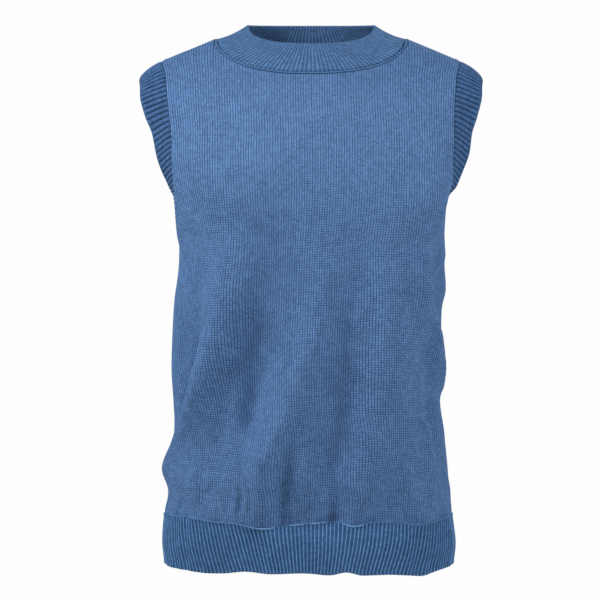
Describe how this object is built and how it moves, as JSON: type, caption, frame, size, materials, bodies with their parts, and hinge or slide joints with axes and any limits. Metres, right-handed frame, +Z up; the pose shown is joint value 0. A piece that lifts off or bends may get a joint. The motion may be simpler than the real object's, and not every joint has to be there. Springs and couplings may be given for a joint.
{
  "type": "knitted sweater vest",
  "caption": "Sleeveless ribbed-neck pullover knit, kept hollow in the shape it takes when worn, with ribbed armholes and hem.",
  "frame": {"origin": "midway between the two high shoulder points, where the wearer's shoulders and neck hold the garment up", "axes": "+Z up the body, front of the garment towards -Y, wearer's left towards +X"},
  "size_m": [0.3974, 0.2188, 0.622],
  "materials": {
    "jersey_knit": "matte plain knit, fine even stitches, mid blue",
    "fine_rib_knit": "matte one-by-one rib, mid blue",
    "wide_rib_knit": "matte broad rib, mid blue with darker grooves"
  },
  "bodies": {
    "root": {"front_panel": "jersey_knit", "back_panel": "jersey_knit", "neckband": "fine_rib_knit", "armhole_rib_left": "wide_rib_knit", "armhole_rib_right": "wide_rib_knit", "hem_rib_front": "fine_rib_knit", "hem_rib_back": "fine_rib_knit"}
  },
  "joints": []
}
